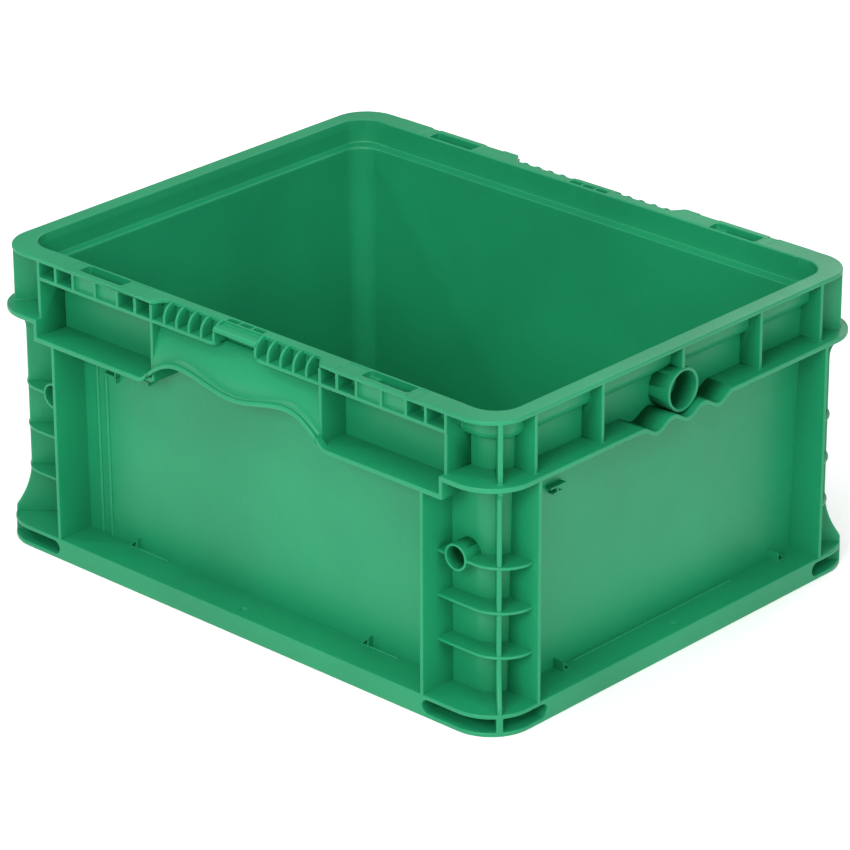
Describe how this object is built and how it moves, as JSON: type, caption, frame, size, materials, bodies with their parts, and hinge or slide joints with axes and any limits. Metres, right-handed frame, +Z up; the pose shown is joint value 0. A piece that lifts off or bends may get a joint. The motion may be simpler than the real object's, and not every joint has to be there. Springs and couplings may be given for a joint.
{
  "type": "stacking plastic crate",
  "caption": "Straight-walled green plastic stacking crate with a flanged rim, hand-holds on the long sides, ribbed corner posts and ring bosses.",
  "frame": {"origin": "centre of the footprint, on the plane that the crate stands on", "axes": "+Z up; X along the long sides, which carry the hand-holds; Y along the short sides, which carry the large ring bosses; front is -Y"},
  "size_m": [0.381, 0.305, 0.178],
  "materials": {
    "crate_plastic": "semi-gloss moulded polypropylene or polyethylene"
  },
  "bodies": {
    "root": {"floor_pan": "crate_plastic", "side_wall_front": "crate_plastic", "side_wall_back": "crate_plastic", "end_wall_left": "crate_plastic", "end_wall_right": "crate_plastic", "corner_wall_front_left": "crate_plastic", "corner_wall_front_right": "crate_plastic", "corner_wall_back_left": "crate_plastic", "corner_wall_back_right": "crate_plastic", "base_flange_front": "crate_plastic", "base_flange_back": "crate_plastic", "base_flange_left": "crate_plastic", "base_flange_right": "crate_plastic", "base_corner_front_left": "crate_plastic", "base_corner_front_right": "crate_plastic", "base_corner_back_left": "crate_plastic", "base_corner_back_right": "crate_plastic", "corner_post_front_left": "crate_plastic", "corner_post_front_right": "crate_plastic", "corner_post_back_left": "crate_plastic", "corner_post_back_right": "crate_plastic", "post_ring_front_left": "crate_plastic", "post_ring_front_right": "crate_plastic", "post_ring_back_left": "crate_plastic", "post_ring_back_right": "crate_plastic", "shoulder_front_left": "crate_plastic", "shoulder_front_right": "crate_plastic", "shoulder_back_left": "crate_plastic", "shoulder_back_right": "crate_plastic", "end_flange_left": "crate_plastic", "end_flange_right": "crate_plastic", "ring_boss_left": "crate_plastic", "ring_boss_right": "crate_plastic", "rim_front": "crate_plastic", "rim_back": "crate_plastic", "rim_left": "crate_plastic", "rim_right": "crate_plastic", "rim_corner_front_left": "crate_plastic", "rim_corner_front_right": "crate_plastic", "rim_corner_back_left": "crate_plastic", "rim_corner_back_right": "crate_plastic", "finger_grip_front_left": "crate_plastic", "finger_grip_front_right": "crate_plastic", "finger_grip_back_left": "crate_plastic", "finger_grip_back_right": "crate_plastic", "hand_hold_front": "crate_plastic", "hand_hold_back": "crate_plastic", "pocket_shelf_front_left": "crate_plastic", "pocket_shelf_front_right": "crate_plastic", "pocket_shelf_back_left": "crate_plastic", "pocket_shelf_back_right": "crate_plastic"}
  },
  "joints": []
}
